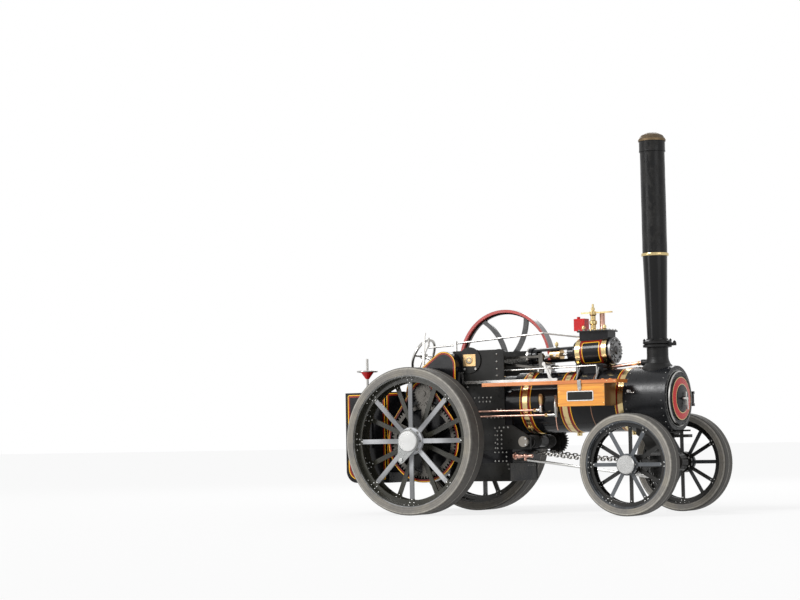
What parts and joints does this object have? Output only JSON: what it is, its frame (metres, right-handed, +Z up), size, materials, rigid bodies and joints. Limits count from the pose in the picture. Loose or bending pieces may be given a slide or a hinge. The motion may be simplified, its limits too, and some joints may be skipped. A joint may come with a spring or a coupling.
{
  "type": "miniature steam traction engine",
  "caption": "Miniature agricultural traction engine with one cylinder on the boiler, spoked wheels with solid tyres, side flywheel, chain steering and a tall chimney.",
  "frame": {"origin": "on the ground, under the middle of the bounding box", "axes": "+X forward, +Y to the engine's left, +Z up"},
  "size_m": [1.856, 0.766, 1.754],
  "materials": {
    "boiler_paint": "gloss black",
    "frame_paint": "satin black",
    "smoke_black": "semi-matt black",
    "chimney_black": "semi-matt black",
    "cast": "painted casting",
    "steel": "bright",
    "brass": "polished",
    "bronze": "machined",
    "copper": "polished copper",
    "tyre_rubber": "worn solid rubber",
    "wheel_iron": "worn paint",
    "wheel_black": "gloss black",
    "cap_aluminium": "polished",
    "flywheel_red": "gloss red rim",
    "red": "gloss red",
    "wood": "varnished",
    "gear_steel": "worn",
    "cover_iron": "machined casting"
  },
  "bodies": {
    "engine": {"boiler": "boiler_paint", "boiler_bands": "brass", "firebox": "boiler_paint", "grate": "cast", "ashpan": "frame_paint", "smokebox": "smoke_black", "chimney_base": "cast", "chimney": "chimney_black", "chimney_extension": "chimney_black", "spark_cap": "bronze", "perch": "cast", "hornplates": "frame_paint", "steering_brackets": "frame_paint", "rear_axle": "steel", "crankshaft": "steel", "crank_bearings": "bronze", "cylinder_block": "boiler_paint", "cylinder_bands": "brass", "cylinder_cover": "cover_iron", "trunk_guide": "boiler_paint", "crosshead": "bronze", "connecting_rod": "steel", "piston_rod": "steel", "valve_gear": "steel", "reversing_gear": "steel", "drain_cocks": "steel", "safety_valves": "brass", "lubricator": "red", "regulator_rod": "steel", "exhaust_pipe": "copper", "drive_gears": "gear_steel", "gear_guard": "boiler_paint", "tender": "boiler_paint", "footplate": "cast", "drawbar": "steel", "brake_column": "steel", "steering_column": "steel", "steering_shaft": "cast", "toolbox": "wood", "box_brackets": "cast", "feed_pipes": "copper"},
    "front_axle": {"front_axle": "cast"},
    "steering_chain_right": {"steering_chain_right": "steel"},
    "steering_chain_left": {"steering_chain_left": "steel"},
    "front_wheel_right": {"front_wheel_right": "wheel_black", "front_tyre_right": "tyre_rubber", "hub_cap_front_right": "cap_aluminium"},
    "front_wheel_left": {"front_wheel_left": "wheel_black", "front_tyre_left": "tyre_rubber", "hub_cap_front_left": "cap_aluminium"},
    "rear_wheel_right": {"rear_wheel_right": "wheel_iron", "rear_tyre_right": "tyre_rubber", "hub_cap_rear_right": "cap_aluminium"},
    "rear_wheel_left": {"rear_wheel_left": "wheel_iron", "rear_tyre_left": "tyre_rubber", "hub_cap_rear_left": "cap_aluminium"},
    "flywheel": {"flywheel": "flywheel_red"},
    "smokebox_door": {"smokebox_door": "smoke_black"},
    "toolbox_lid": {"toolbox_lid": "wood"},
    "firehole_door": {"firehole_door": "cast"}
  },
  "joints": [
    {"name": "steering", "type": "hinge", "parent": "engine", "child": "front_axle", "pos_m": [0.699, 0, 0.229], "axis": [0, 0, 1], "range_deg": [-20, 20]},
    {"name": "front_wheel_right_spin", "type": "hinge", "parent": "front_axle", "child": "front_wheel_right", "pos_m": [0.699, -0.292, 0.229], "axis": [0, 1, 0], "continuous": true},
    {"name": "front_wheel_left_spin", "type": "hinge", "parent": "front_axle", "child": "front_wheel_left", "pos_m": [0.699, 0.292, 0.229], "axis": [0, 1, 0], "continuous": true},
    {"name": "rear_wheel_right_spin", "type": "hinge", "parent": "engine", "child": "rear_wheel_right", "pos_m": [-0.413, -0.317, 0.35], "axis": [0, 1, 0], "continuous": true},
    {"name": "rear_wheel_left_spin", "type": "hinge", "parent": "engine", "child": "rear_wheel_left", "pos_m": [-0.413, 0.317, 0.35], "axis": [0, 1, 0], "continuous": true},
    {"name": "steering_chain_right_pivot", "type": "hinge", "parent": "front_axle", "child": "steering_chain_right", "pos_m": [0.641, -0.15, 0.251], "axis": [0, 0, 1], "range_deg": [-20, 20]},
    {"name": "steering_chain_left_pivot", "type": "hinge", "parent": "front_axle", "child": "steering_chain_left", "pos_m": [0.641, 0.15, 0.251], "axis": [0, 0, 1], "range_deg": [-20, 20]},
    {"name": "flywheel_spin", "type": "hinge", "parent": "engine", "child": "flywheel", "pos_m": [-0.203, 0.22, 0.73], "axis": [0, 1, 0], "continuous": true},
    {"name": "smokebox_door_hinge", "type": "hinge", "parent": "engine", "child": "smokebox_door", "pos_m": [0.8205, 0.138, 0.522], "axis": [0, 0, 1], "range_deg": [0, 110]},
    {"name": "toolbox_lid_hinge", "type": "hinge", "parent": "engine", "child": "toolbox_lid", "pos_m": [0.454, -0.16, 0.6135], "axis": [-1, 0, 0], "range_deg": [0, 75]},
    {"name": "firehole_door_hinge", "type": "hinge", "parent": "engine", "child": "firehole_door", "pos_m": [-0.3605, 0.068, 0.47], "axis": [0, 0, -1], "range_deg": [0, 100]}
  ],
  "couplings": [
    {"joint": "steering_chain_right_pivot", "follows": "steering", "ratio": -1},
    {"joint": "steering_chain_left_pivot", "follows": "steering", "ratio": -1}
  ]
}
